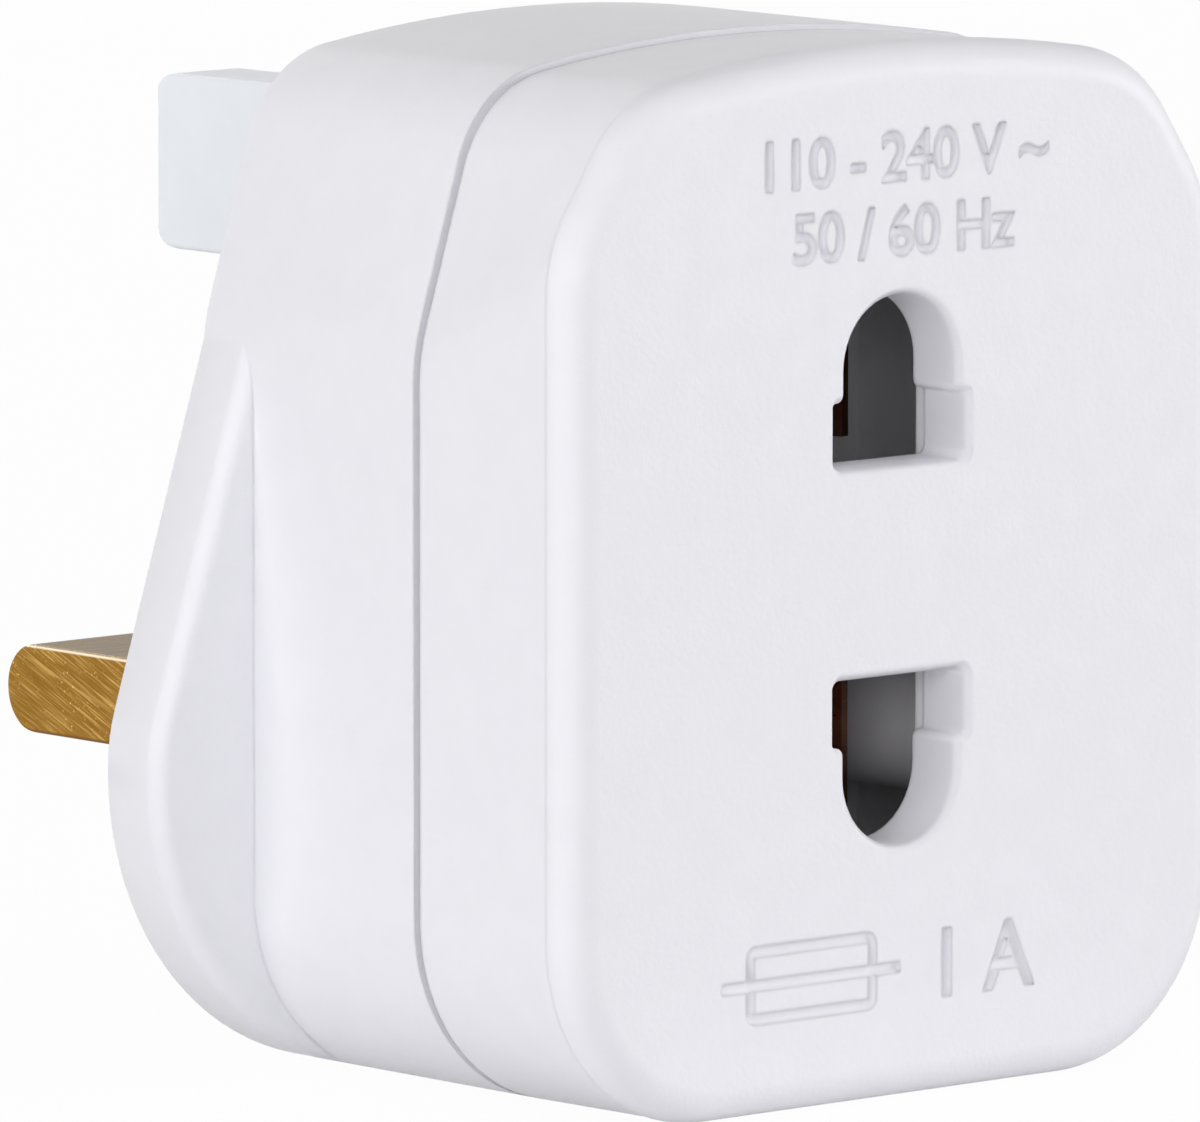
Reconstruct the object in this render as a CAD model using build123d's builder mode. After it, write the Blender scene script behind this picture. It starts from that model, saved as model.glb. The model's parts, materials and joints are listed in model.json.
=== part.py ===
"""Two-pin shaver adaptor for a three-pin wall socket.

The plug face lies on Y = 0 with its pins towards +Y, and the shaver slots face -Y.
X is to the right seen from the shaver side, Z is up, and Z = 0 is the line of the two power pins.
A height is a distance from the plug face towards the shaver side. All lengths are millimetres.
"""

from build123d import *
from math import atan2, tan
import os

# Power pins and their sleeves
pin_spacing = 22.22
pin_width = 6.35
pin_thickness = 3.97
pin_length = 18.1
pin_tip_radius = 1.95
pin_tip_corner_radius = 0.3
pin_edge_radius = 0.25
sleeve_wall = 0.4
sleeve_length = 8.4
pin_head_width = 8.4
pin_head_thickness = 5.8
tail_diameter = 3.0
rivet_diameter = 4.6
rivet_height = 0.65

# Earth pin
earth_z = 22.23
earth_width = 3.97
earth_thickness = 7.92
earth_length = 22.73
earth_tip_radius = 1.6
earth_tip_corner_radius = 0.5
earth_edge_radius = 0.3
earth_head_width = 6.4
earth_head_thickness = 10.4
earth_head_height = 2.4

# Housing outline round the pins, seen from the shaver side
crown_margin = 8.37
bottom_margin = 14.9
body_margin = 7.69
flange_margin = 13.09
crown_arc_radius = 76.0
crown_inset = 3.5
crown_corner_radius = 5.5
body_bottom_radius = 8.5
flange_shoulder_z = 0.5
flange_tuck = 0.25
flange_bottom_radius = 13.6
shoulder_radius = 8.0
front_shoulder_drop = 7.7
front_shoulder_radius = 7.0
front_crown_inset = 0.7
front_crown_corner_radius = 6.5
seam_crown_drop = 0.22

# Housing depths and walls
housing_depth = 24.9
seam_height = 14.95
seam_gap = 0.4
flange_thickness = 4.2
flange_rim_radius = 0.8
plug_face_chamfer = 0.9
floor_thickness = 3.6
wall = 2.0
face_wall = 2.8
rim_height = 1.65
rim_step = 0.06
tongue_thickness = 0.9
tongue_length = 1.6
tongue_clearance = 0.08

# Shaver slots, measured from the middle of the socket
socket_z = 8.0
slot_inner = 4.5
slot_step_height = 2.9
slot_neck = 1.3
slot_narrow = 6.3
slot_step = 0.6
slot_corner_radius = 0.4
slot_step_radius = 0.18
slot_shoulder_radius = 0.38
slot_edge_chamfer = 0.34
shroud_depth = 7.0
shroud_lip = 0.6
shroud_wall = 1.2
shroud_side_clearance = 0.1
shroud_inner_clearance = 1.5
shroud_end_clearance = 0.9
shroud_corner_radius = 2.6

# Cartridge fuse and its carrier
fuse_length = 19.0
fuse_cap_diameter = 4.95
fuse_cap_length = 5.5
fuse_cap_wall = 0.3
fuse_clearance = 0.2
carrier_thickness = 1.8
carrier_corner_radius = 0.7
carrier_end_wall = 1.1
carrier_end_clearance = 0.25
carrier_end_margin = 0.25
carrier_end_reach = 1.8
claw_gap = 1.2
claw_wall = 0.8
claw_reach = 1.2
notch_width = 5.0
notch_depth = 0.9
chamber_wall = 1.0
chamber_reach = 2.1

# Bronze stampings
sheet = 0.5
contact_inset = 0.4
contact_length = 8.0
contact_root = 5.2
contact_waist_gap = 4.4
contact_mouth = 2.2
contact_lip = 6.2
contact_bend_radius = 0.8
strap_width = 3.0
strap_reach = 2.4
cross_strap_width = 2.0
peg_diameter = 1.8
peg_inset = 1.8
clip_inset = 0.6
clip_lip_gap = 0.5
clip_lip_length = 0.8
clip_flare = 0.3
clip_bend_radius = 0.55
clip_room = 0.375

# Screws from the plug face into bosses of the cover
screw_diameter = 2.9
screw_length = 11.0
screw_head_diameter = 5.4
screw_head_height = 1.7
screw_head_chamfer = 0.4
screw_tip_chamfer = 0.4
screw_recess_depth = 2.2
cross_width = 0.8
cross_span = 3.0
cross_depth = 1.0
boss_wall = 1.05
boss_margin = 0.3
boss_bore_spare = 1.0
top_screw_inset = 0.5

# Posts of the cover that hold the inner pieces down
post_wall = 1.0
post_clearance = 0.4
clip_post_width = 3.6
clip_post_thickness = 4.0
earth_post_width = 5.0
earth_post_thickness = 3.0
earth_post_inset = 0.3

# Clearances and the least distance between points
fit_clearance = 0.05
slide_clearance = 0.2
hold_clearance = 0.1
point_tolerance = 1e-6

# Housing places worked out from the sizes above
pin_x = pin_spacing / 2
bottom_z = -bottom_margin
crown_z = earth_z + crown_margin
body_half_width = pin_x + body_margin
flange_half_width = pin_x + flange_margin
crown_half_width = body_half_width - crown_inset
front_crown_half_width = crown_half_width - front_crown_inset
front_shoulder_z = crown_z - front_shoulder_drop
face_inside = housing_depth - face_wall
cover_edge = seam_height + seam_gap / 2
body_edge = seam_height - seam_gap / 2

# Slot and shroud places
slot_wide = slot_narrow + 2 * slot_step
slot_shoulder = slot_inner + slot_step_height
slot_end_radius = slot_narrow / 2
slot_end = slot_shoulder + slot_neck
slot_outer = slot_end + slot_end_radius
slot_nose_radius = min(slot_shoulder_radius, 0.95 * (slot_step - slot_step_radius))
shroud_inner = slot_inner - shroud_inner_clearance
shroud_outer = slot_outer + shroud_end_clearance
shroud_end = housing_depth - shroud_depth
shroud_lip_end = face_inside - shroud_lip

# Fuse, clip and carrier places
fuse_height = carrier_thickness + fuse_clearance + fuse_cap_diameter / 2
fuse_tube_radius = fuse_cap_diameter / 2 - fuse_cap_wall
strap_height = fuse_height + fuse_cap_diameter / 2 + fuse_clearance
strap_middle = strap_height + sheet / 2
strap_top = strap_height + sheet
clip_grip = (fuse_cap_diameter + sheet) / 2 + fit_clearance
clip_start = fuse_length / 2 - fuse_cap_length + clip_inset
clip_width = fuse_cap_length - 2 * clip_inset
clip_middle = clip_start + clip_width / 2
clip_lip_height = carrier_thickness + clip_lip_gap
clip_bend_height = clip_lip_height + clip_lip_length
claw_half_length = clip_start - claw_gap
claw_radius = fuse_tube_radius + fit_clearance
claw_height = fuse_height + claw_reach
carrier_end_height = fuse_height + carrier_end_reach
carrier_end_middle = fuse_length / 2 + carrier_end_clearance + carrier_end_wall / 2
carrier_half_length = carrier_end_middle + carrier_end_wall / 2 + carrier_end_margin
window_half_length = carrier_half_length + slide_clearance
window_half_height = clip_grip + clip_flare + sheet / 2 + clip_room
carrier_half_height = window_half_height - slide_clearance
chamber_height = fuse_height + chamber_reach

# Contact, post and screw places
contact_inner = slot_inner + contact_inset
contact_outer = contact_inner + contact_length
contact_flat = contact_root / 2 - contact_bend_radius
contact_lip_end = shroud_end - hold_clearance
contact_waist_height = contact_lip_end - contact_mouth
peg_places = [(0, socket_z + contact_inner + peg_inset), (0, socket_z - contact_inner - peg_inset)]
pin_places = [(-pin_x, 0), (pin_x, 0)]
pin_post_end = strap_top + hold_clearance
pin_post_bore = rivet_diameter + 2 * post_clearance
earth_head_top = floor_thickness + earth_head_height
earth_post_z = earth_z + (earth_head_thickness - earth_post_thickness) / 2 - earth_post_inset
boss_radius = screw_diameter / 2 + boss_wall
boss_end = floor_thickness + hold_clearance
screw_top = screw_recess_depth - screw_head_height
screw_tip = screw_recess_depth + screw_length
screw_places = {
    "left": (top_screw_inset - pin_x, earth_z),
    "right": (pin_x - top_screw_inset, earth_z),
    "bottom": (0, bottom_z + wall + boss_margin + boss_radius),
}


def at_height(height):
    """The plane parallel to the plug face at a height, looking out of the shaver side."""
    return Plane.XZ.offset(height)


def crown_height(x, top_z):
    """The level of a crown's arc at a distance from its top."""
    return top_z - crown_arc_radius + (crown_arc_radius**2 - x**2) ** 0.5


def housing_outline(half_width, base_z, shoulder_z, crown_x, top_z, base_radius, side_radius, crown_radius):
    """The housing's outline seen from the shaver side: upright sides, slanted shoulders and a low crown."""
    crown_corner_z = crown_height(crown_x, top_z)
    shoulder_turn = atan2(half_width - crown_x, crown_corner_z - shoulder_z)
    side_length = shoulder_z - base_z - side_radius * tan(shoulder_turn / 2)
    corner_radii = (
        (base_z, min(base_radius, side_length - hold_clearance)),
        (shoulder_z, side_radius),
        (crown_corner_z, crown_radius),
    )
    with BuildSketch() as outline:
        with BuildLine():
            Polyline(
                (-crown_x, crown_corner_z),
                (-half_width, shoulder_z),
                (-half_width, base_z),
                (half_width, base_z),
                (half_width, shoulder_z),
                (crown_x, crown_corner_z),
            )
            ThreePointArc((crown_x, crown_corner_z), (0, top_z), (-crown_x, crown_corner_z))
        make_face()
        for corner_z, radius in corner_radii:
            fillet([corner for corner in vertices() if abs(corner.Y - corner_z) < point_tolerance], radius)
    return outline.sketch


# Outlines that several pieces share; the flange's slanted sides run up into the body's shoulders
flange_rise = crown_height(crown_half_width, crown_z) - flange_shoulder_z
flare = (flange_half_width - crown_half_width) / flange_rise
body_shoulder_z = flange_shoulder_z + (flange_half_width - body_half_width) / flare
flange_outline = housing_outline(
    flange_half_width,
    bottom_z + flange_tuck,
    flange_shoulder_z,
    crown_half_width - flange_tuck,
    crown_z - flange_tuck,
    flange_bottom_radius,
    shoulder_radius,
    crown_corner_radius,
)
body_outline = housing_outline(
    body_half_width,
    bottom_z,
    body_shoulder_z,
    crown_half_width,
    crown_z,
    body_bottom_radius,
    shoulder_radius,
    crown_corner_radius,
)
seam_outline = housing_outline(
    body_half_width,
    bottom_z,
    body_shoulder_z,
    crown_half_width,
    crown_z - seam_crown_drop,
    body_bottom_radius,
    shoulder_radius,
    crown_corner_radius,
)
front_outline = housing_outline(
    body_half_width,
    bottom_z,
    front_shoulder_z,
    front_crown_half_width,
    crown_z,
    body_bottom_radius,
    front_shoulder_radius,
    front_crown_corner_radius,
)

with BuildSketch() as cavity_outline:
    offset(body_outline, -wall, mode=Mode.ADD)

with BuildSketch() as tongue_outline:
    offset(body_outline, tongue_thickness - wall, mode=Mode.ADD)
    offset(body_outline, -wall, mode=Mode.SUBTRACT)

with BuildSketch() as rebate_outline:
    offset(body_outline, tongue_thickness + tongue_clearance - wall, mode=Mode.ADD)

with BuildSketch() as slot_outline:
    with Locations((0, slot_inner)):
        Rectangle(slot_wide, slot_step_height, align=(Align.CENTER, Align.MIN))
    with Locations((0, slot_shoulder)):
        Rectangle(slot_narrow, slot_neck, align=(Align.CENTER, Align.MIN))
    with Locations((0, slot_end)):
        Circle(slot_end_radius)
    fillet(vertices().group_by(Axis.Y)[0], slot_corner_radius)
    shoulders = [corner for corner in vertices() if abs(corner.Y - slot_shoulder) < point_tolerance]
    noses = [corner for corner in shoulders if abs(corner.X) < slot_end_radius + point_tolerance]
    fillet(noses, slot_nose_radius)
    shoulders = [corner for corner in vertices() if abs(corner.Y - slot_shoulder) < point_tolerance]
    steps = [corner for corner in shoulders if abs(corner.X) > slot_wide / 2 - point_tolerance]
    fillet(steps, slot_step_radius)
    mirror(about=Plane.XZ)

with BuildSketch() as shroud_outline:
    with Locations((0, shroud_inner)):
        Rectangle(
            slot_wide + 2 * shroud_side_clearance,
            shroud_outer - shroud_inner,
            align=(Align.CENTER, Align.MIN),
        )
    fillet(vertices().group_by(Axis.Y)[-1], shroud_corner_radius)
    mirror(about=Plane.XZ)

with BuildSketch() as shroud_wall_outline:
    offset(shroud_outline.sketch, shroud_wall, mode=Mode.ADD)

with BuildSketch() as shroud_window:
    with Locations((0, shroud_inner)):
        Rectangle(
            slot_wide + 2 * (shroud_side_clearance + shroud_wall + fit_clearance),
            shroud_outer - shroud_inner,
            align=(Align.CENTER, Align.MIN),
        )
    mirror(about=Plane.XZ)

# Folded profiles of the bronze stampings: two sprung leaves on a base, open towards the shaver or the fuse
with BuildSketch() as contact_fold:
    with BuildLine():
        FilletPolyline(
            (-contact_lip / 2, -contact_lip_end),
            (-(contact_waist_gap + sheet) / 2, -contact_waist_height),
            (-(contact_root - sheet) / 2, -strap_middle),
            ((contact_root - sheet) / 2, -strap_middle),
            ((contact_waist_gap + sheet) / 2, -contact_waist_height),
            (contact_lip / 2, -contact_lip_end),
            radius=contact_bend_radius,
        )
    trace(line_width=sheet)

with BuildSketch() as clip_fold:
    with BuildLine():
        FilletPolyline(
            (-clip_lip_height, socket_z - clip_grip - clip_flare),
            (-clip_bend_height, socket_z - clip_grip),
            (-strap_middle, socket_z - clip_grip),
            (-strap_middle, socket_z + clip_grip),
            (-clip_bend_height, socket_z + clip_grip),
            (-clip_lip_height, socket_z + clip_grip + clip_flare),
            radius=clip_bend_radius,
        )
    trace(line_width=sheet)

# Rear body: flange, wall with a tongue for the cover, floor with holes, fuse chamber and pads with pegs
with BuildPart() as flange:
    with BuildSketch(at_height(0)):
        add(flange_outline)
    extrude(amount=flange_thickness)
    chamfer(edges().group_by(Axis.Y)[-1], plug_face_chamfer)
    fillet(edges().group_by(Axis.Y)[0], flange_rim_radius)

with BuildPart() as rear_body:
    with BuildSketch(at_height(0)):
        add(body_outline)
    extrude(amount=body_edge)
    chamfer(edges().group_by(Axis.Y)[-1], plug_face_chamfer)
    add(flange.part)
    with BuildSketch(at_height(floor_thickness)):
        add(cavity_outline.sketch)
    extrude(amount=body_edge - floor_thickness, mode=Mode.SUBTRACT)
    with BuildSketch(at_height(body_edge)):
        add(tongue_outline.sketch)
    extrude(amount=tongue_length + seam_gap)
    with BuildSketch(at_height(floor_thickness)):
        with Locations((0, socket_z)):
            Rectangle(2 * (window_half_length + chamber_wall), 2 * (window_half_height + chamber_wall))
    extrude(amount=chamber_height - floor_thickness)
    with BuildSketch(at_height(floor_thickness)):
        with Locations(*peg_places):
            Rectangle(contact_root - 2 * sheet, 2 * peg_diameter)
    extrude(amount=strap_height - floor_thickness)
    with BuildSketch(at_height(floor_thickness)):
        with Locations(*peg_places):
            Circle(peg_diameter / 2)
    extrude(amount=strap_top + sheet - floor_thickness)
    with BuildSketch(at_height(floor_thickness)):
        with Locations(*pin_places):
            Rectangle(pin_head_width + 2 * fit_clearance, pin_head_thickness + 2 * fit_clearance)
    extrude(amount=strap_height - floor_thickness, mode=Mode.SUBTRACT)
    with BuildSketch(at_height(floor_thickness)):
        with Locations((0, earth_z)):
            Rectangle(earth_head_width + 2 * fit_clearance, earth_head_thickness + 2 * fit_clearance)
    extrude(amount=earth_head_height + fit_clearance, mode=Mode.SUBTRACT)
    with BuildSketch(at_height(0)):
        with Locations(*pin_places):
            Rectangle(pin_width + 2 * fit_clearance, pin_thickness + 2 * fit_clearance)
        with Locations((0, earth_z)):
            Rectangle(earth_width + 2 * fit_clearance, earth_thickness + 2 * fit_clearance)
        with Locations(*screw_places.values()):
            Circle(screw_diameter / 2 + slide_clearance)
    extrude(amount=floor_thickness, mode=Mode.SUBTRACT)
    with BuildSketch(at_height(0)):
        with Locations(*screw_places.values()):
            Circle(screw_head_diameter / 2 + slide_clearance)
    extrude(amount=screw_recess_depth, mode=Mode.SUBTRACT)
    with BuildSketch(at_height(0)):
        with Locations((0, socket_z)):
            RectangleRounded(
                2 * window_half_length,
                2 * window_half_height,
                carrier_corner_radius + slide_clearance,
            )
    extrude(amount=chamber_height, mode=Mode.SUBTRACT)
rear_body.part.label = "rear_body"

# Front cover: shell with a stepped rounded rim, slots and shrouds, hold-down posts and screw bosses
with BuildPart() as front_cover:
    with BuildSketch(at_height(cover_edge)):
        add(seam_outline)
    with BuildSketch(at_height(housing_depth - rim_height)):
        offset(front_outline, -rim_step, mode=Mode.ADD)
    loft(ruled=True)
    with BuildSketch(at_height(housing_depth - rim_height)):
        add(front_outline)
    extrude(amount=rim_height)
    fillet(edges().group_by(Axis.Y)[0], rim_height - rim_step)
    with BuildSketch(at_height(cover_edge)):
        add(cavity_outline.sketch)
    extrude(amount=face_inside - cover_edge, mode=Mode.SUBTRACT)
    with BuildSketch(at_height(cover_edge)):
        add(rebate_outline.sketch)
    extrude(amount=tongue_length + tongue_clearance + seam_gap / 2, mode=Mode.SUBTRACT)
    with BuildSketch(at_height(shroud_end)):
        with Locations((0, socket_z)):
            add(shroud_wall_outline.sketch)
    extrude(amount=face_inside - shroud_end)
    with BuildSketch(at_height(pin_post_end)):
        with Locations(*pin_places):
            Circle(pin_post_bore / 2 + post_wall)
            Circle(pin_post_bore / 2, mode=Mode.SUBTRACT)
        with Locations((-clip_middle, socket_z), (clip_middle, socket_z)):
            Rectangle(clip_post_width, clip_post_thickness)
    extrude(amount=face_inside - pin_post_end)
    with BuildSketch(at_height(earth_head_top + hold_clearance)):
        with Locations((0, earth_post_z)):
            Rectangle(earth_post_width, earth_post_thickness)
    extrude(amount=face_inside - earth_head_top - hold_clearance)
    with BuildSketch(at_height(boss_end)):
        with Locations(*screw_places.values()):
            Circle(boss_radius)
    extrude(amount=face_inside - boss_end)
    with BuildSketch(at_height(boss_end)):
        with Locations(*screw_places.values()):
            Circle(screw_diameter / 2 + fit_clearance)
    extrude(amount=screw_tip + boss_bore_spare - boss_end, mode=Mode.SUBTRACT)
    with BuildSketch(at_height(shroud_end)):
        with Locations((0, socket_z)):
            add(shroud_window.sketch)
    extrude(amount=shroud_lip_end - shroud_end, mode=Mode.SUBTRACT)
    with BuildSketch(at_height(shroud_lip_end)):
        with Locations((0, socket_z)):
            add(shroud_outline.sketch)
    extrude(amount=shroud_lip, mode=Mode.SUBTRACT)
    with BuildSketch(at_height(face_inside)):
        with Locations((0, socket_z)):
            add(slot_outline.sketch)
    extrude(amount=face_wall, mode=Mode.SUBTRACT)
    front_face = faces().sort_by(Axis.Y)[0]
    chamfer(front_face.inner_wires().edges(), min(slot_edge_chamfer, 0.9 * slot_nose_radius))
front_cover.part.label = "front_cover"

# Power pins: a blade with a sleeved root, a head on the floor, and a tail riveted over its strap
power_pins = {}
pin_sleeves = {}
pin_tip_round = min(pin_tip_radius, 0.49 * pin_thickness)
for side, x in (("neutral", -pin_x), ("live", pin_x)):
    with BuildPart() as pin:
        with BuildSketch(at_height(-pin_length)):
            with Locations((x, 0)):
                RectangleRounded(pin_width, pin_thickness, pin_edge_radius)
        extrude(amount=pin_length - sleeve_length)
        with BuildSketch(Plane.YZ.offset(x - pin_width / 2)):
            with Locations((pin_length, 0)):
                Rectangle(pin_length, pin_thickness, align=(Align.MAX, Align.CENTER))
            fillet(vertices().group_by(Axis.X)[-1], pin_tip_round)
        extrude(amount=pin_width, mode=Mode.INTERSECT)
        with BuildSketch(Plane.XY.offset(-pin_thickness / 2)):
            with Locations((x, pin_length)):
                Rectangle(pin_width, pin_length, align=(Align.CENTER, Align.MAX))
            fillet(vertices().group_by(Axis.Y)[-1], pin_tip_corner_radius)
        extrude(amount=pin_thickness, mode=Mode.INTERSECT)
        with BuildSketch(at_height(-sleeve_length)):
            with Locations((x, 0)):
                Rectangle(pin_width - 2 * sleeve_wall, pin_thickness - 2 * sleeve_wall)
        extrude(amount=sleeve_length + floor_thickness)
        with BuildSketch(at_height(floor_thickness)):
            with Locations((x, 0)):
                Rectangle(pin_head_width, pin_head_thickness)
        extrude(amount=strap_height - floor_thickness)
        with BuildSketch(at_height(strap_height)):
            with Locations((x, 0)):
                Circle(tail_diameter / 2)
        extrude(amount=sheet)
        with BuildSketch(at_height(strap_top)):
            with Locations((x, 0)):
                Circle(rivet_diameter / 2)
        extrude(amount=rivet_height)
        chamfer(edges().group_by(Axis.Y)[0], rivet_height / 2)
    pin.part.label = f"{side}_pin"
    power_pins[side] = pin.part

    with BuildPart() as sleeve:
        with BuildSketch(at_height(-sleeve_length)):
            with Locations((x, 0)):
                RectangleRounded(pin_width, pin_thickness, pin_edge_radius)
                Rectangle(pin_width - 2 * sleeve_wall, pin_thickness - 2 * sleeve_wall, mode=Mode.SUBTRACT)
        extrude(amount=sleeve_length + floor_thickness)
    sleeve.part.label = f"{side}_pin_sleeve"
    pin_sleeves[side] = sleeve.part

# Earth pin: a plastic blade with a rounded tip and a head on the floor
with BuildPart() as earth_pin:
    with BuildSketch(at_height(-earth_length)):
        with Locations((0, earth_z)):
            RectangleRounded(earth_width, earth_thickness, earth_edge_radius)
    extrude(amount=earth_length + floor_thickness)
    with BuildSketch(Plane.YZ.offset(-earth_width / 2)):
        with Locations((earth_length, earth_z)):
            Rectangle(earth_length + floor_thickness, earth_thickness, align=(Align.MAX, Align.CENTER))
        fillet(vertices().group_by(Axis.X)[-1], earth_tip_radius)
    extrude(amount=earth_width, mode=Mode.INTERSECT)
    with BuildSketch(Plane.XY.offset(earth_z - earth_thickness / 2)):
        with Locations((0, earth_length)):
            Rectangle(earth_width, earth_length + floor_thickness, align=(Align.CENTER, Align.MAX))
        fillet(vertices().group_by(Axis.Y)[-1], earth_tip_corner_radius)
    extrude(amount=earth_thickness, mode=Mode.INTERSECT)
    with BuildSketch(at_height(floor_thickness)):
        with Locations((0, earth_z)):
            Rectangle(earth_head_width, earth_head_thickness)
    extrude(amount=earth_head_height)
earth_pin.part.label = "earth_pin"

# Line contact: the upper contact and the left fuse clip, joined by a strap over the fuse
with BuildPart() as line_contact:
    with BuildSketch(Plane.XY.offset(socket_z + contact_inner)):
        add(contact_fold.sketch)
    extrude(amount=contact_length)
    with BuildSketch(Plane.YZ.offset(-clip_start - clip_width)):
        add(clip_fold.sketch)
    extrude(amount=clip_width)
    with BuildSketch(at_height(strap_height)):
        with Locations((-clip_start, socket_z - strap_width / 2)):
            Rectangle(strap_width, contact_inner + strap_width / 2, align=(Align.MIN, Align.MIN))
        with Locations((-clip_start, socket_z + contact_inner)):
            Rectangle(clip_start + contact_flat, cross_strap_width, align=(Align.MIN, Align.MAX))
    extrude(amount=sheet)
    with BuildSketch(at_height(strap_height)):
        with Locations(*peg_places):
            Circle(peg_diameter / 2 + fit_clearance)
    extrude(amount=sheet, mode=Mode.SUBTRACT)
line_contact.part.label = "line_contact"

# Neutral contact: the lower contact with a strap under it and up to the neutral pin's tail
with BuildPart() as neutral_contact:
    with BuildSketch(Plane.XY.offset(socket_z - contact_outer)):
        add(contact_fold.sketch)
    extrude(amount=contact_length)
    with BuildSketch(at_height(strap_height)):
        with Locations((contact_flat, socket_z - contact_outer)):
            Rectangle(contact_flat + pin_x, cross_strap_width, align=(Align.MAX, Align.MAX))
        with Locations((-pin_x, strap_reach)):
            Rectangle(
                2 * strap_reach,
                strap_reach + contact_outer + cross_strap_width - socket_z,
                align=(Align.CENTER, Align.MAX),
            )
        with Locations((-pin_x, 0)):
            Circle(tail_diameter / 2 + fit_clearance, mode=Mode.SUBTRACT)
    extrude(amount=sheet)
    with BuildSketch(at_height(strap_height)):
        with Locations(*peg_places):
            Circle(peg_diameter / 2 + fit_clearance)
    extrude(amount=sheet, mode=Mode.SUBTRACT)
neutral_contact.part.label = "neutral_contact"

# Live fuse clip: the right fuse clip with a strap across and down to the live pin's tail
with BuildPart() as live_fuse_clip:
    with BuildSketch(Plane.YZ.offset(clip_start)):
        add(clip_fold.sketch)
    extrude(amount=clip_width)
    with BuildSketch(at_height(strap_height)):
        with Locations((clip_middle, socket_z)):
            Rectangle(pin_x - clip_middle, strap_width, align=(Align.MIN, Align.CENTER))
        with Locations((pin_x, -strap_reach)):
            Rectangle(
                2 * strap_reach,
                strap_reach + socket_z + strap_width / 2,
                align=(Align.CENTER, Align.MIN),
            )
        with Locations((pin_x, 0)):
            Circle(tail_diameter / 2 + fit_clearance, mode=Mode.SUBTRACT)
    extrude(amount=sheet)
live_fuse_clip.part.label = "live_fuse_clip"

# Cartridge fuse: a ceramic tube between two end caps
with BuildPart() as fuse_tube:
    with BuildSketch(Plane.YZ.offset(fuse_cap_wall - fuse_length / 2)):
        with Locations((-fuse_height, socket_z)):
            Circle(fuse_tube_radius)
    extrude(amount=fuse_length - 2 * fuse_cap_wall)
fuse_tube.part.label = "fuse_tube"

fuse_caps = {}
for side, end, inward in (("left", -fuse_length / 2, 1), ("right", fuse_length / 2, -1)):
    with BuildPart() as fuse_cap:
        with BuildSketch(Plane.YZ.offset(end)):
            with Locations((-fuse_height, socket_z)):
                Circle(fuse_cap_diameter / 2)
        extrude(amount=inward * fuse_cap_length)
        chamfer(edges().sort_by(Axis.X, reverse=inward < 0)[0], fuse_cap_wall)
        with BuildSketch(Plane.YZ.offset(end + inward * fuse_cap_wall)):
            with Locations((-fuse_height, socket_z)):
                Circle(fuse_tube_radius)
        extrude(amount=inward * (fuse_cap_length - fuse_cap_wall), mode=Mode.SUBTRACT)
    fuse_cap.part.label = f"fuse_cap_{side}"
    fuse_caps[side] = fuse_cap.part

# Fuse carrier: a plate in the plug face with claws round the fuse tube, end walls and a pull-out notch
with BuildPart() as fuse_carrier:
    with BuildSketch(at_height(0)):
        with Locations((0, socket_z)):
            RectangleRounded(2 * carrier_half_length, 2 * carrier_half_height, carrier_corner_radius)
    extrude(amount=carrier_thickness)
    with BuildSketch(at_height(carrier_thickness)):
        with Locations((-carrier_end_middle, socket_z), (carrier_end_middle, socket_z)):
            Rectangle(carrier_end_wall, fuse_cap_diameter)
    extrude(amount=carrier_end_height - carrier_thickness)
    with BuildSketch(Plane.YZ.offset(-claw_half_length)):
        with Locations((-carrier_thickness, socket_z)):
            Rectangle(
                claw_height - carrier_thickness,
                2 * (claw_radius + claw_wall),
                align=(Align.MAX, Align.CENTER),
            )
        with Locations((-fuse_height, socket_z)):
            Circle(claw_radius, mode=Mode.SUBTRACT)
        with Locations((-claw_height, socket_z)):
            Rectangle(
                claw_reach,
                2 * fuse_tube_radius - claw_wall,
                align=(Align.MIN, Align.CENTER),
                mode=Mode.SUBTRACT,
            )
    extrude(amount=2 * claw_half_length)
    with BuildSketch(at_height(0)):
        with Locations((0, socket_z + carrier_half_height)):
            Rectangle(notch_width, 2 * notch_depth)
    extrude(amount=notch_depth, mode=Mode.SUBTRACT)
fuse_carrier.part.label = "fuse_carrier"

# Housing screws: pan heads with a cross recess, sunk in the plug face
housing_screws = {}
for place, (x, z) in screw_places.items():
    with BuildPart() as screw:
        with BuildSketch(at_height(screw_top)):
            with Locations((x, z)):
                Circle(screw_head_diameter / 2)
        extrude(amount=screw_head_height)
        chamfer(edges().sort_by(Axis.Y)[-1], screw_head_chamfer)
        with BuildSketch(at_height(screw_recess_depth)):
            with Locations((x, z)):
                Circle(screw_diameter / 2)
        extrude(amount=screw_length)
        chamfer(edges().sort_by(Axis.Y)[0], screw_tip_chamfer)
        with BuildSketch(at_height(screw_top)):
            with Locations((x, z)):
                Rectangle(cross_span, cross_width)
                Rectangle(cross_width, cross_span)
        extrude(amount=cross_depth, mode=Mode.SUBTRACT)
    screw.part.label = f"housing_screw_{place}"
    housing_screws[place] = screw.part

os.makedirs("parts", exist_ok=True)
pieces = [
    front_cover.part,
    rear_body.part,
    earth_pin.part,
    *power_pins.values(),
    *pin_sleeves.values(),
    line_contact.part,
    neutral_contact.part,
    live_fuse_clip.part,
    fuse_tube.part,
    *fuse_caps.values(),
    fuse_carrier.part,
    *housing_screws.values(),
]
for piece in pieces:
    export_step(piece, f"parts/{piece.label}.step")
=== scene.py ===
"""Dresses a white two-pin shaver adaptor over its solid model and sets it on a pale studio floor."""

import json
import logging
import math
from collections.abc import Iterator
from contextlib import contextmanager
from dataclasses import dataclass, field
from enum import Enum
from functools import partial, reduce

import bmesh
import bpy
from mathutils import Matrix, Vector

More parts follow.
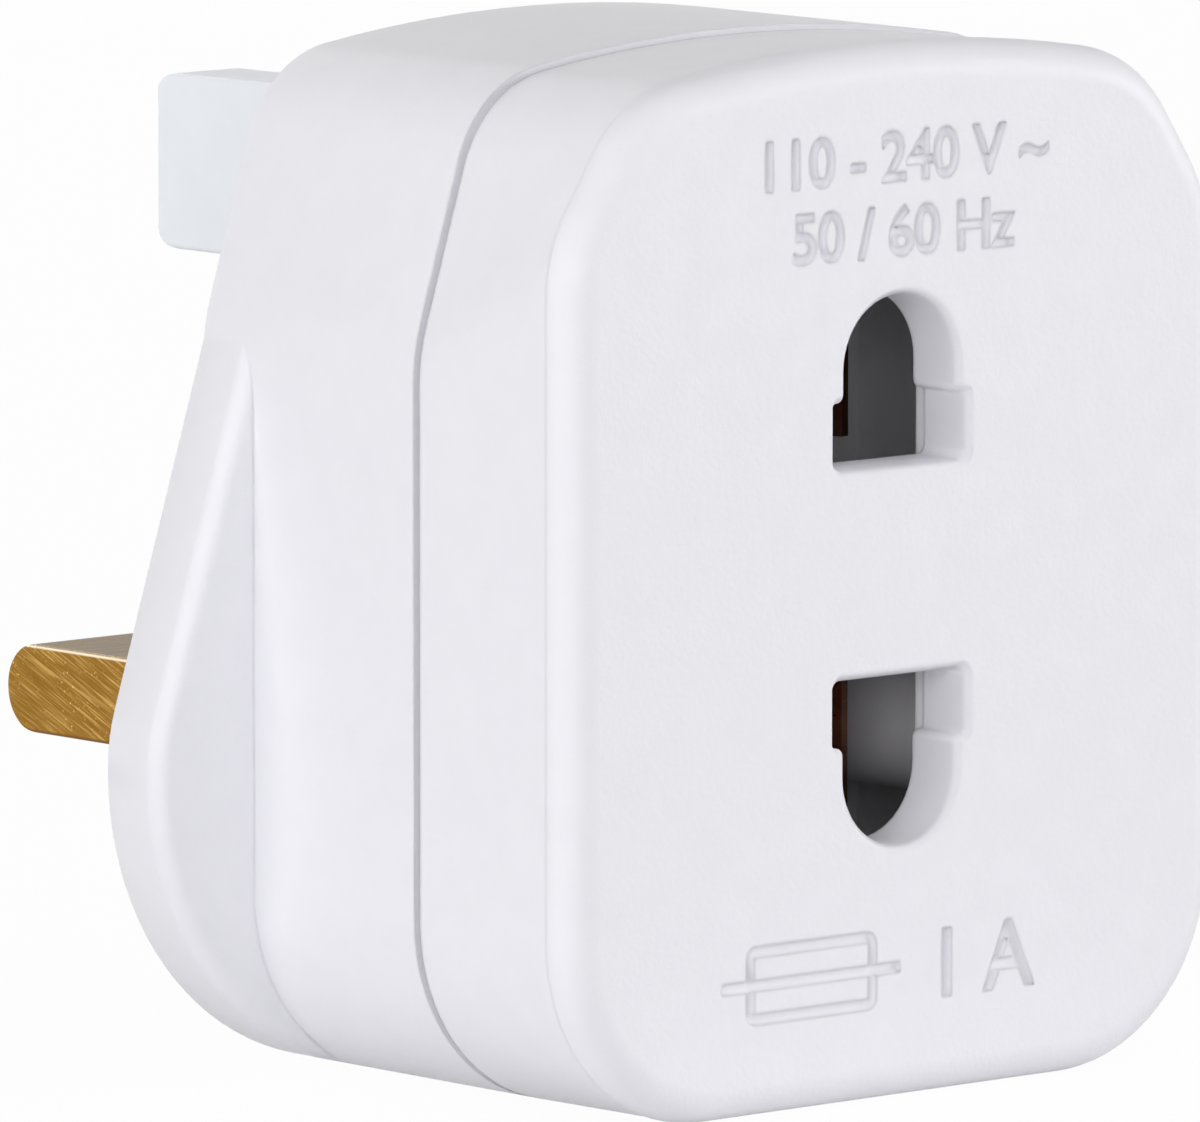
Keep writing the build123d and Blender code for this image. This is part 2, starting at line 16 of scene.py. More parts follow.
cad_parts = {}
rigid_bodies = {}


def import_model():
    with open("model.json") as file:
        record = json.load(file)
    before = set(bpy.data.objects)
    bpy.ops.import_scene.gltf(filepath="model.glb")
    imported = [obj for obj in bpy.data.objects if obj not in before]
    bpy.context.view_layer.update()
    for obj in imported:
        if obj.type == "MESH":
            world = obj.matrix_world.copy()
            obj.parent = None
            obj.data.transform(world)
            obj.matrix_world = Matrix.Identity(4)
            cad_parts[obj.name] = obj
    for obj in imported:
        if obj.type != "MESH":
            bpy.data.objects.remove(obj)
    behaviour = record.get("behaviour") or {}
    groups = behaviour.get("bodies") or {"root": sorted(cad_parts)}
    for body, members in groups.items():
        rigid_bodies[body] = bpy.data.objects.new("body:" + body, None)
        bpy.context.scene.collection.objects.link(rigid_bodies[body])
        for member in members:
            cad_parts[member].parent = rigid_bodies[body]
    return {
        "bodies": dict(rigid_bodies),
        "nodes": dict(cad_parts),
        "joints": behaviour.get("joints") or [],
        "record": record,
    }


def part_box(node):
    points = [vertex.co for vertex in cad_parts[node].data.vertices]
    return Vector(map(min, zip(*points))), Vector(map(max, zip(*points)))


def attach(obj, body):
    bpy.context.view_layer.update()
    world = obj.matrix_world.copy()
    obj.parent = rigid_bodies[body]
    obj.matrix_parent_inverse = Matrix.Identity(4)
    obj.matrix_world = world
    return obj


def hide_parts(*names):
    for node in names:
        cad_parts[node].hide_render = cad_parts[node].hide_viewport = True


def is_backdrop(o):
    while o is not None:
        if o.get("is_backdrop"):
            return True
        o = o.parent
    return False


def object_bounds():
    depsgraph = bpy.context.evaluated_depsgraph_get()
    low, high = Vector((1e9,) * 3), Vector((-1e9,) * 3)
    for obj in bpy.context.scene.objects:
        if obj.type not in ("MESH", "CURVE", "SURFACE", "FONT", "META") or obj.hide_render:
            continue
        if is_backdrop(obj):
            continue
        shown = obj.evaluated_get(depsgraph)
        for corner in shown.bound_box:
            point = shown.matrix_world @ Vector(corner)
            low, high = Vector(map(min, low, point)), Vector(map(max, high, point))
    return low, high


log = logging.getLogger("shaver_adaptor")

MM = 0.001
DRAWING_WELD = 0.002 * MM

Colour = tuple[float, float, float]
Point = tuple[float, float, float]
Range = tuple[float, float]
Socket = bpy.types.NodeSocket
Value = float | tuple | bpy.types.Material | Socket


class Body(Enum):
    """The rigid bodies that pieces ride on."""

    HOUSING = "housing"
    FUSE_HOLDER = "fuse_holder"


class Slot(Enum):
    """The record's material slots."""

    HOUSING = "housing_plastic"
    EARTH_PIN = "earth_pin_plastic"
    PIN = "pin_brass"
    SLEEVE = "sleeve_plastic"
    CONTACT = "contact_bronze"
    FUSE_TUBE = "fuse_ceramic"
    FUSE_CAP = "fuse_metal"
    CARRIER = "carrier_plastic"
    SCREW = "screw_steel"


@contextmanager
def opened(mesh: bpy.types.Mesh) -> Iterator[bmesh.types.BMesh]:
    """Opens a mesh for changes, and writes them back at the end.

    Args:
        mesh: The mesh, which is changed.

    Yields:
        The open mesh.
    """
    shell = bmesh.new()
    shell.from_mesh(mesh)
    yield shell
    shell.to_mesh(mesh)
    shell.free()


def placed(name: str, mesh: bpy.types.Mesh) -> bpy.types.Object:
    """Puts a mesh in the scene as an object at the origin.

    Args:
        name: The object's name.
        mesh: Its mesh.

    Returns:
        The object.
    """
    mesh.name = name
    thing = bpy.data.objects.new(name, mesh)
    bpy.context.collection.objects.link(thing)
    return thing


def evaluated_mesh(thing: bpy.types.Object) -> bpy.types.Mesh:
    """Makes a plain mesh of an object with its modifiers.

    Args:
        thing: A text, or a mesh with modifiers.

    Returns:
        The new mesh.
    """
    bpy.context.view_layer.update()
    seen = thing.evaluated_get(bpy.context.evaluated_depsgraph_get())
    return bpy.data.meshes.new_from_object(seen)


def plain_mesh(drawing: bpy.types.Object) -> bpy.types.Mesh:
    """Turns a drawing with its modifiers into a closed plain mesh, and removes the drawing.

    Args:
        drawing: A text, or a mesh with modifiers.

    Returns:
        The mesh.
    """
    mesh = evaluated_mesh(drawing)
    bpy.data.objects.remove(drawing)
    with opened(mesh) as shell:
        bmesh.ops.remove_doubles(shell, verts=shell.verts, dist=DRAWING_WELD)
        bmesh.ops.recalc_face_normals(shell, faces=shell.faces)
    return mesh


class NodeTree:
    """A node tree that adds each node with its properties and inputs in one call."""

    def __init__(self, tree: bpy.types.NodeTree) -> None:
        """Starts with no nodes.

        Args:
            tree: Blender's tree, which is cleared.
        """
        self.tree = tree
        self.tree.nodes.clear()

    def join(self, value: Value, socket: Socket) -> None:
        """Sets an input to a constant or links it to an output.

        Args:
            value: The constant or the output socket.
            socket: The input.
        """
        if isinstance(value, Socket):
            self.tree.links.new(value, socket)
        else:
            socket.default_value = value

    def node(
        self, kind: str, inputs: dict[str | int, Value] | None = None, **settings: object
    ) -> bpy.types.Node:
        """Adds a node, sets its properties and sets or links its inputs.

        Args:
            kind: The node's type name.
            inputs: A value or an output socket for each input that is set, by its name or number.
            **settings: The node's own properties.

        Returns:
            The new node.
        """
        made = self.tree.nodes.new(kind)
        for key, setting in settings.items():
            setattr(made, key, setting)
        for key, value in (inputs or {}).items():
            self.join(value, made.inputs[key])
        return made

    def maths(self, operation: str, first: Value, second: Value = 0.0) -> Socket:
        """A sum, product or other operation on two values.

        Args:
            operation: Blender's name of the operation.
            first: The first value.
            second: The second value.

        Returns:
            The result's socket.
        """
        return self.node("ShaderNodeMath", {0: first, 1: second}, operation=operation).outputs["Value"]

    def product(self, *values: Value) -> Socket:
        """The product of several values."""
        return reduce(partial(self.maths, "MULTIPLY"), values)

    def total(self, *values: Value) -> Socket:
        """The sum of several values."""
        return reduce(partial(self.maths, "ADD"), values)


class FinishTree(NodeTree):
    """The node tree of one finish, whose patterns are measured in millimetres."""

    EDGE_SAMPLES = 2

    def __init__(self, name: str) -> None:
        """Starts a material with a shader on its output.

        Args:
            name: The material's name.
        """
        self.material = bpy.data.materials.new(name)
        self.material.use_nodes = True
        super().__init__(self.material.node_tree)
        self.shader = self.node("ShaderNodeBsdfPrincipled")
        self.node("ShaderNodeOutputMaterial", {"Surface": self.shader.outputs["BSDF"]})

    def feed(self, key: str, value: Value) -> None:
        """Sets or links one input of the shader.

        Args:
            key: The shader's input.
            value: A constant or an output socket.
        """
        self.join(value, self.shader.inputs[key])

    def places(self, stretch: Point = (1.0, 1.0, 1.0), turn: Point = (0.0, 0.0, 0.0)) -> Socket:
        """The point on the piece in millimetres, turned and then stretched for a pattern with a direction.

        Args:
            stretch: The pattern's frequency along each turned axis.
            turn: The turn about each axis, in radians.

        Returns:
            The vector socket for a texture.
        """
        point = self.node("ShaderNodeTexCoord").outputs["Object"]
        turned = self.node("ShaderNodeMapping", {"Vector": point, "Rotation": turn}).outputs["Vector"]
        scale = tuple(part / MM for part in stretch)
        return self.node("ShaderNodeMapping", {"Vector": turned, "Scale": scale}).outputs["Vector"]

    def facing(self, axis: str) -> Socket:
        """How squarely the surface faces along one axis, from -1 to 1.

        Args:
            axis: The axis's letter.

        Returns:
            The value socket.
        """
        normal = self.node("ShaderNodeTexCoord").outputs["Normal"]
        return self.node("ShaderNodeSeparateXYZ", {"Vector": normal}).outputs[axis]

    def noise(self, places: Socket, per_mm: float = 1.0, detail: float = 2.0) -> Socket:
        """Smooth random values with a grain of about one over per_mm millimetres.

        Args:
            places: The texture's points, in millimetres.
            per_mm: The number of grains in a millimetre.
            detail: The number of finer layers.

        Returns:
            The value socket, from 0 to 1.
        """
        inputs = {"Vector": places, "Scale": per_mm, "Detail": detail}
        return self.node("ShaderNodeTexNoise", inputs).outputs["Fac"]

    def flecks(self, places: Socket, per_mm: float, size: Range) -> Socket:
        """Scattered dots, 1 at their middles and 0 outside them.

        Args:
            places: The texture's points, in millimetres.
            per_mm: The number of dots in a millimetre.
            size: The distances at which a dot starts to fade and ends.

        Returns:
            The value socket.
        """
        inputs = {"Vector": places, "Scale": per_mm}
        return self.fall(self.node("ShaderNodeTexVoronoi", inputs).outputs["Distance"], size)

    def span(self, value: Value, source: Range, target: Range) -> Socket:
        """Maps a range of values on to another, and stops at its ends.

        Args:
            value: The value to map.
            source: The values that are mapped.
            target: What they are mapped on to.

        Returns:
            The mapped value's socket.
        """
        inputs = {
            "Value": value,
            "From Min": source[0],
            "From Max": source[1],
            "To Min": target[0],
            "To Max": target[1],
        }
        return self.node("ShaderNodeMapRange", inputs).outputs["Result"]

    def rise(self, value: Value, source: Range) -> Socket:
        """A value that grows from 0 to 1 over a range."""
        return self.span(value, source, (0.0, 1.0))

    def fall(self, value: Value, source: Range) -> Socket:
        """A value that drops from 1 to 0 over a range."""
        return self.span(value, source, (1.0, 0.0))

    def ramp(self, value: Value, stops: dict[float, Colour]) -> Socket:
        """A colour for each value, blended between the stops.

        Args:
            value: The value that picks the colour.
            stops: Colours by their values.

        Returns:
            The colour socket.
        """
        made = self.node("ShaderNodeValToRGB", {"Fac": value})
        elements = made.color_ramp.elements
        while len(elements) < len(stops):
            elements.new(1.0)
        for element, (position, colour) in zip(elements, sorted(stops.items())):
            element.position = position
            element.color = (*colour, 1.0)
        return made.outputs["Color"]

    def tint(self, share: Value, under: Socket, over: Colour) -> Socket:
        """Lays a colour over another by a share.

        Args:
            share: The share of the upper colour.
            under: The lower colour's socket.
            over: The upper colour.

        Returns:
            The mixed colour's socket.
        """
        mixed = self.node("ShaderNodeMix", data_type="RGBA")
        inputs = {socket.identifier: socket for socket in mixed.inputs}
        outputs = {socket.identifier: socket for socket in mixed.outputs}
        self.join(share, inputs["Factor_Float"])
        self.join(under, inputs["A_Color"])
        self.join((*over, 1.0), inputs["B_Color"])
        return outputs["Result_Color"]

    def bump(self, height_mm: Value, edge_round_mm: float = 0.0) -> Socket:
        """The normal of a surface raised by a height, with its edges rounded off.

        Args:
            height_mm: The height's socket, in millimetres.
            edge_round_mm: The edges' radius in millimetres, or 0 to leave them as they are.

        Returns:
            The normal socket.
        """
        inputs = {"Height": height_mm, "Distance": MM}
        if edge_round_mm > 0:
            radius = {"Radius": edge_round_mm * MM}
            rounded = self.node("ShaderNodeBevel", radius, samples=self.EDGE_SAMPLES)
            inputs["Normal"] = rounded.outputs["Normal"]
        return self.node("ShaderNodeBump", inputs).outputs["Normal"]


@dataclass(frozen=True)
class MouldedPlastic:
    """Injection-moulded plastic with a fine orange-peel grain, a faint waviness and soft edges."""

    name: str
    colour: Colour
    shade: Colour
    cloud_per_mm: float = 0.48
    cloud_span: Range = (0.3, 0.7)
    roughness: float = 0.42
    roughness_spread: float = 0.06
    gloss: float = 0.5
    grain_per_mm: float = 4.0
    grain_height: float = 0.018
    grain_detail: float = 3.0
    grain_span: Range = (0.3, 0.7)
    side_grain: float = 0.45
    side_to_face: Range = (0.75, 0.98)
    wave_per_mm: float = 0.12
    wave_height: float = 0.03
    edge_round: float = 0.0

    def material(self) -> bpy.types.Material:
        """Builds the finish's node material."""
        tree = FinishTree(self.name)
        places = tree.places()
        grain = tree.noise(places, self.grain_per_mm, self.grain_detail)
        wave = tree.noise(places, self.wave_per_mm)
        cloud = tree.noise(places, self.cloud_per_mm)
        across = tree.maths("ABSOLUTE", tree.facing("Y"))
        share = tree.span(across, self.side_to_face, (self.side_grain, 1.0))
        grain_mm = tree.product(grain, share, self.grain_height)
        wave_mm = tree.product(wave, self.wave_height)
        dullness = (self.roughness - self.roughness_spread, self.roughness + self.roughness_spread)
        tree.feed("Base Color", tree.ramp(cloud, dict(zip(self.cloud_span, (self.shade, self.colour)))))
        tree.feed("Roughness", tree.span(grain, self.grain_span, dullness))
        tree.feed("Specular IOR Level", self.gloss)
        tree.feed("Normal", tree.bump(tree.total(grain_mm, wave_mm), self.edge_round))
        return tree.material


@dataclass(frozen=True)
class FiledBrass:
    """Cut brass: slanted file marks, thin scratches and flecks on the sides, greyer flats as a painted
    reflection, a painted highlight on the upper edges and painted shade beneath.
    """

    name: str
    colour: Colour
    light: Colour
    dark: Colour
    flat_reflection_colour: Colour
    edge_highlight_colour: Colour
    grazing_tint: Colour
    roughness: float = 0.38
    roughness_spread: float = 0.08
    mark_turn: float = math.radians(-23.0)
    mark_stretch: Point = (0.5, 0.5, 13.0)
    mark_detail: float = 3.0
    mark_height: float = 0.003
    mark_span: Range = (0.3, 0.7)
    mark_stops: tuple[float, float, float] = (0.25, 0.5, 0.85)
    scratch_stretch: Point = (0.32, 0.32, 9.0)
    scratch_detail: float = 1.0
    scratch_span: Range = (0.62, 0.66)
    scratch_share: float = 0.7
    cluster_per_mm: float = 0.7
    cluster_span: Range = (0.46, 0.6)
    fleck_per_mm: float = 4.0
    fleck_size: Range = (0.12, 0.32)
    fleck_height: float = 0.02
    fleck_share: float = 0.6
    flat_reflection_span: Range = (0.8, 0.95)
    highlight_start: Range = (0.2, 0.45)
    highlight_end: Range = (0.6, 0.85)
    underside_shade_span: Range = (-0.45, -0.2)

    def material(self) -> bpy.types.Material:
        """Builds the finish's node material."""
        tree = FinishTree(self.name)
        turn = (self.mark_turn, 0.0, 0.0)
        marks = tree.noise(tree.places(self.mark_stretch, turn), detail=self.mark_detail)
        lines = tree.noise(tree.places(self.scratch_stretch, turn), detail=self.scratch_detail)
        scratch = tree.rise(lines, self.scratch_span)
        places = tree.places()
        cluster = tree.rise(tree.noise(places, self.cluster_per_mm), self.cluster_span)
        fleck = tree.product(tree.flecks(places, self.fleck_per_mm, self.fleck_size), cluster)
        marks_mm = tree.product(marks, self.mark_height)
        scratch_mm = tree.product(scratch, -self.mark_height)
        fleck_mm = tree.product(fleck, self.fleck_height)
        smoothness = (self.roughness + self.roughness_spread, self.roughness - self.roughness_spread)
        tree.feed("Base Color", self.tinted(tree, marks, scratch, fleck))
        tree.feed("Metallic", 1.0)
        tree.feed("Specular Tint", (*self.grazing_tint, 1.0))
        tree.feed("Roughness", tree.span(marks, self.mark_span, smoothness))
        tree.feed("Normal", tree.bump(tree.total(marks_mm, scratch_mm, fleck_mm)))
        return tree.material

    def tinted(self, tree: FinishTree, marks: Socket, scratch: Socket, fleck: Socket) -> Socket:
        """The brass's colour, from its marks, with painted reflection, highlight and shade by how each face
        lies.

        Args:
            tree: The finish's node tree.
            marks: The file marks' values.
            scratch: The scratches' values.
            fleck: The flecks' values.

        Returns:
            The colour socket.
        """
        upright = tree.facing("Z")
        # painted reflection: the flat top and bottom faces are painted greyer, as if they mirrored a darker
        # surround
        flat = tree.rise(tree.maths("ABSOLUTE", upright), self.flat_reflection_span)
        # painted highlight: faces turned partly upwards, along the upper edges, are painted pale cream
        edge = tree.product(tree.rise(upright, self.highlight_start), tree.fall(upright, self.highlight_end))
        # painted shade: faces turned downwards are painted in the dark marks' colour
        underside_shade = tree.fall(upright, self.underside_shade_span)
        colour = tree.ramp(marks, dict(zip(self.mark_stops, (self.dark, self.colour, self.light))))
        colour = tree.tint(tree.product(scratch, self.scratch_share), colour, self.light)
        colour = tree.tint(tree.product(fleck, self.fleck_share), colour, self.light)
        colour = tree.tint(underside_shade, colour, self.dark)
        colour = tree.tint(flat, colour, self.flat_reflection_colour)
        # the painted highlight on the upper edges is laid over everything else
        return tree.tint(edge, colour, self.edge_highlight_colour)


@dataclass(frozen=True)
class SheetMetal:
    """Rolled or plated metal with fine lines along one axis and soft stains."""

    name: str
    colour: Colour
    stain: Colour
    stain_per_mm: float = 0.5
    stain_detail: float = 3.0
    stain_span: Range = (0.35, 0.65)
    roughness: float = 0.3
    smoother: float = 0.08
    duller: float = 0.1
    line_stretch: Point = (0.3, 6.0, 6.0)
    line_detail: float = 3.0
    line_height: float = 0.002
    line_span: Range = (0.3, 0.7)

    def material(self) -> bpy.types.Material:
        """Builds the finish's node material."""
        tree = FinishTree(self.name)
        lines = tree.noise(tree.places(self.line_stretch), detail=self.line_detail)
        stains = tree.noise(tree.places(), self.stain_per_mm, self.stain_detail)
        dullness = (self.roughness - self.smoother, self.roughness + self.duller)
        tree.feed("Base Color", tree.ramp(stains, dict(zip(self.stain_span, (self.stain, self.colour)))))
        tree.feed("Metallic", 1.0)
        tree.feed("Roughness", tree.span(lines, self.line_span, dullness))
        tree.feed("Normal", tree.bump(tree.product(lines, self.line_height)))
        return tree.material


Finish = MouldedPlastic | FiledBrass | SheetMetal

WHITE_PLASTIC = MouldedPlastic(
    "white_housing_plastic",
    colour=(0.845, 0.84, 0.88),
    shade=(0.83, 0.825, 0.865),
    roughness=0.46,
    gloss=0.32,
    edge_round=0.25,
)
EARTH_PLASTIC = MouldedPlastic(
    "earth_pin_plastic",
    colour=(0.85, 0.88, 0.92),
    shade=(0.83, 0.86, 0.90),
    roughness=0.36,
    grain_per_mm=2.0,
    grain_height=0.003,
)
CARRIER_PLASTIC = MouldedPlastic(
    "fuse_carrier_plastic",
    colour=(0.80, 0.80, 0.83),
    shade=(0.78, 0.78, 0.81),
)
SLEEVE_PLASTIC = MouldedPlastic(
    "pin_sleeve_plastic",
    colour=(0.022, 0.022, 0.025),
    shade=(0.016, 0.016, 0.018),
    roughness=0.4,
)
FUSE_CERAMIC = MouldedPlastic(
    "fuse_ceramic",
    colour=(0.80, 0.77, 0.70),
    shade=(0.76, 0.73, 0.66),
    roughness=0.22,
    grain_per_mm=1.2,
    grain_height=0.002,
)
PIN_BRASS = FiledBrass(
    "filed_brass",
    colour=(0.325, 0.168, 0.028),
    light=(0.64, 0.40, 0.12),
    # dark: the darker file marks, and also the painted shade on the undersides
    dark=(0.26, 0.125, 0.02),
    # painted reflection: the greyer colour painted on the flat faces
    flat_reflection_colour=(0.36, 0.26, 0.12),
    # painted highlight: the pale cream painted on the upper edges
    edge_highlight_colour=(0.95, 0.85, 0.65),
    grazing_tint=(0.52, 0.55, 0.66),
)
CONTACT_BRONZE = SheetMetal(
    "rolled_bronze",
    colour=(0.42, 0.20, 0.12),
    stain=(0.30, 0.13, 0.08),
    roughness=0.34,
)
FUSE_NICKEL = SheetMetal(
    "nickel_plate",
    colour=(0.66, 0.64, 0.60),
    stain=(0.58, 0.56, 0.52),
    roughness=0.22,
)
SCREW_ZINC = SheetMetal(
    "zinc_plate",
    colour=(0.60, 0.60, 0.62),
    stain=(0.52, 0.53, 0.56),
    line_stretch=(3.0, 3.0, 3.0),
)


@dataclass(frozen=True)
class SkinMaker:
    """Makes smooth skins from CAD nodes, with the edges above an angle kept sharp."""

    sharp_angle: float = math.radians(28.0)
    flat_angle: float = math.radians(0.1)
    weld: float = 0.0005 * MM
    normal_weight: int = 100

    def copy(self, name: str, source: bpy.types.Object) -> bpy.types.Object:
        """Copies a node's triangles into an object of its own and joins them.

        Args:
            name: The node's name.
            source: The node's CAD object.

        Returns:
            The new object, in the node's place.
        """
        skin = placed(f"{name}_skin", source.data.copy())
        skin.data.materials.clear()
        self.smooth(skin.data)
        return skin

    def smooth(self, mesh: bpy.types.Mesh) -> None:
        """Joins a mesh's loose faces and shades them smooth up to their sharp edges.

        Args:
            mesh: The mesh, which is changed.
        """
        with opened(mesh) as shell:
            bmesh.ops.remove_doubles(shell, verts=shell.verts, dist=self.weld)
            bmesh.ops.dissolve_degenerate(shell, edges=shell.edges, dist=self.weld)
            self.drop_folds(shell)
            bmesh.ops.dissolve_limit(
                shell, angle_limit=self.flat_angle, verts=shell.verts, edges=shell.edges
            )
            for face in shell.faces:
                face.smooth = True
            for edge in shell.edges:
                edge.smooth = len(edge.link_faces) == 2 and edge.calc_face_angle(0.0) < self.sharp_angle

    def drop_folds(self, shell: bmesh.types.BMesh) -> None:
        """Deletes the faces that a cut leaves folded on to each other, with all their corners shared.

        Args:
            shell: The open mesh, which is changed.
        """
        by_corners: dict[frozenset[bmesh.types.BMVert], list[bmesh.types.BMFace]] = {}
        for face in shell.faces:
            by_corners.setdefault(frozenset(face.verts), []).append(face)
        folded = [face for faces in by_corners.values() if len(faces) > 1 for face in faces]
        bmesh.ops.delete(shell, geom=folded, context="FACES")

    def even_normals(self, skin: bpy.types.Object) -> None:
        """Lets a skin's large flat faces set the shading of their corners.

        Args:
            skin: The skin, which gets a modifier.
        """
        level = skin.modifiers.new("even_normals", "WEIGHTED_NORMAL")
        level.keep_sharp = True
        level.weight = self.normal_weight


@dataclass
class SubAssembly:
    """Pieces that belong together, each a smooth skin over the CAD node that it stands for."""

    skins: SkinMaker = SkinMaker()

    def cover(
        self, node: str, skin: bpy.types.Object, body: Body, slot: Slot, material: bpy.types.Material
    ) -> bpy.types.Object:
        """Gives a skin its finish and its even normals and lets it stand for its node.

        Args:
            node: The CAD node's name.
            skin: The skin.
            body: The body it rides on.
            slot: The material slot; not used.
            material: The finish's material.

        Returns:
            The skin.
        """
        skin.data.materials.append(material)
        self.skins.even_normals(skin)
        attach(skin, body.value)
        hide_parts(node)
        return skin

    def dress(
        self,
        names: tuple[str, ...],
        frame: dict[str, bpy.types.Object],
        body: Body,
        slot: Slot,
        finish: Finish,
    ) -> list[bpy.types.Object]:
        """Skins several nodes in one finish.

        Args:
            names: The nodes' names.
            frame: The frame's CAD objects by node.
            body: The body they ride on.
            slot: Their material slot.
            finish: Their finish.

        Returns:
            The skins.
        """
        material = finish.material()
        return [self.cover(name, self.skins.copy(name, frame[name]), body, slot, material) for name in names]


class GrooveLines(NodeTree):
    """A node tree that sweeps a round cutter along a box and along a line through its middle."""

    SIZES = ("Width", "Height", "Corner", "Lead", "Line Radius")
    CORNER_STEPS = 4
    LINE_SIDES = 16

    def __init__(self, name: str) -> None:
        """Builds the tree with its named inputs.

        Args:
            name: The tree's name.
        """
        super().__init__(bpy.data.node_groups.new(name, "GeometryNodeTree"))
        sockets = self.tree.interface
        for label in self.SIZES:
            sockets.new_socket(label, in_out="INPUT", socket_type="NodeSocketFloat")
        sockets.new_socket("Material", in_out="INPUT", socket_type="NodeSocketMaterial")
        sockets.new_socket("Geometry", in_out="OUTPUT", socket_type="NodeSocketGeometry")
        sizes = self.node("NodeGroupInput").outputs
        path = self.node("GeometryNodeJoinGeometry", {"Geometry": self.box(sizes)})
        self.join(self.line(sizes), path.inputs["Geometry"])
        ring = {"Resolution": self.LINE_SIDES, "Radius": sizes["Line Radius"]}
        section = self.node("GeometryNodeCurvePrimitiveCircle", ring)
        sweep = {
            "Curve": path.outputs["Geometry"],
            "Profile Curve": section.outputs["Curve"],
            "Fill Caps": True,
        }
        swept = self.node("GeometryNodeCurveToMesh", sweep)
        real = self.node("GeometryNodeRealizeInstances", {"Geometry": swept.outputs["Mesh"]})
        finish = {"Geometry": real.outputs["Geometry"], "Material": sizes["Material"]}
        dressed = self.node("GeometryNodeSetMaterial", finish)
        self.node("NodeGroupOutput", {"Geometry": dressed.outputs["Geometry"]})

    def box(self, sizes: bpy.types.NodeOutputs) -> Socket:
        """The box's outline with rounded corners.

        Args:
            sizes: The tree's inputs.

        Returns:
            The curve's socket.
        """
        sides = {"Width": sizes["Width"], "Height": sizes["Height"]}
        sharp = self.node("GeometryNodeCurvePrimitiveQuadrilateral", sides)
        corners = {"Curve": sharp.outputs["Curve"], "Radius": sizes["Corner"], "Count": self.CORNER_STEPS}
        return self.node("GeometryNodeFilletCurve", corners, mode="POLY").outputs["Curve"]

    def line(self, sizes: bpy.types.NodeOutputs) -> Socket:
        """The line through the box's middle, with a lead at each end.

        Args:
            sizes: The tree's inputs.

        Returns:
            The curve's socket.
        """
        reach = self.total(self.product(sizes["Width"], 0.5), sizes["Lead"])
        right = self.node("ShaderNodeCombineXYZ", {"X": reach}).outputs["Vector"]
        left = self.node("ShaderNodeCombineXYZ", {"X": self.product(reach, -1.0)}).outputs["Vector"]
        return self.node("GeometryNodeCurvePrimitiveLine", {"Start": left, "End": right}).outputs["Curve"]

    def mesh(self, values: dict[str, Value]) -> bpy.types.Mesh:
        """Runs the tree with its sizes.

        Args:
            values: The tree's inputs by name.

        Returns:
            The swept lines as a plain mesh.
        """
        name = f"{self.tree.name}_drawing"
        host = placed(name, bpy.data.meshes.new(name))
        modifier = host.modifiers.new("groove_lines", "NODES")
        modifier.node_group = self.tree
        for item in self.tree.interface.items_tree:
            if item.in_out == "INPUT":
                modifier[item.identifier] = values[item.name]
        return plain_mesh(host)


